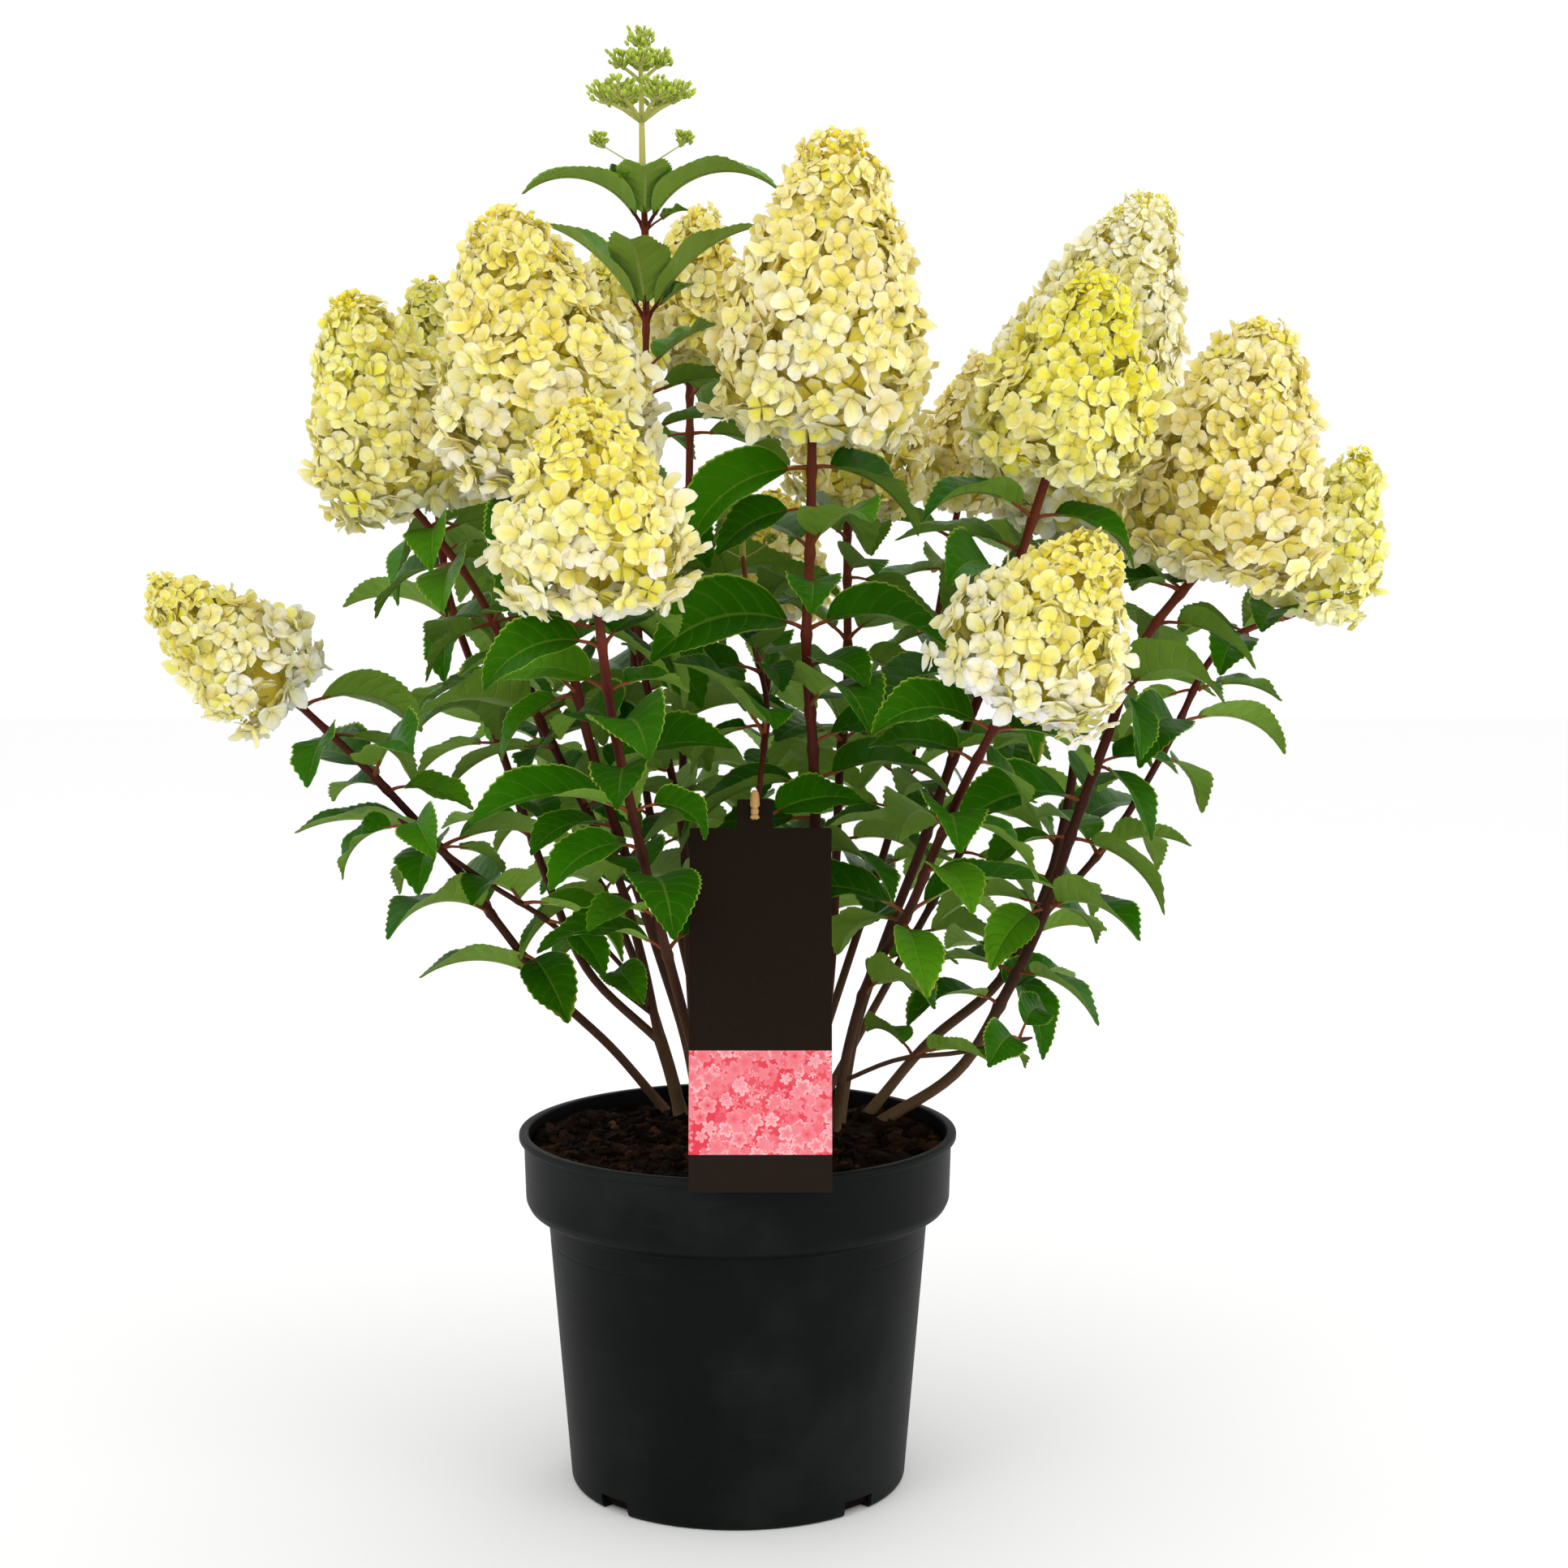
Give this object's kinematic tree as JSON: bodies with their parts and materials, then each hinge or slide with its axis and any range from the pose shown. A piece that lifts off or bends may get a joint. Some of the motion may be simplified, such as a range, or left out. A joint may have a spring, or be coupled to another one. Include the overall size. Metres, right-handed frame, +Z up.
{
  "type": "potted panicle hydrangea",
  "caption": "Bushy panicle hydrangea in a round nursery pot: leafy arching canes with cone-shaped flower heads, bark mulch and a hanging plant label.",
  "frame": {"origin": "centre of the pot's flat foot, on the surface it stands on", "axes": "+Z up through the pot's middle, the label card on the -Y side and +X to its right"},
  "size_m": [0.7174, 0.557, 0.8524],
  "materials": {
    "pot_plastic": "satin",
    "bark_mulch": "matte",
    "foliage": "satin",
    "florets": "matte",
    "buds": "matte",
    "label_plastic": "satin",
    "peg_wood": "matte"
  },
  "bodies": {
    "root": {"pot": "pot_plastic", "soil": "bark_mulch", "label_card": "label_plastic", "label_peg": "peg_wood", "cane_centre": "foliage", "cane_front_left": "foliage", "cane_right_front": "foliage", "cane_low_left": "foliage", "cane_far_right": "foliage", "cane_right_mid": "foliage", "cane_left": "foliage", "cane_tall": "foliage", "cane_left_mid": "foliage", "cane_inner_bud": "foliage", "cane_behind_centre": "foliage", "cane_right_back": "foliage", "cane_back_mid": "foliage", "cane_back_left": "foliage", "cane_back_right": "foliage", "cane_rear_left": "foliage", "cane_rear_centre": "foliage", "cane_rear_right": "foliage", "panicle_centre": "florets", "panicle_front_left": "florets", "panicle_right_front": "florets", "panicle_low_left": "florets", "panicle_far_right": "florets", "panicle_outer_right": "florets", "panicle_right_mid": "florets", "panicle_left": "florets", "panicle_left_back": "florets", "panicle_left_mid": "florets", "panicle_behind_centre": "florets", "panicle_right_back": "florets", "panicle_back_mid": "florets", "panicle_back_left": "florets", "panicle_back_right": "florets", "panicle_rear_left": "florets", "panicle_rear_centre": "florets", "panicle_rear_right": "florets", "panicle_bud_tall": "buds", "panicle_bud_inner": "buds"}
  },
  "joints": []
}
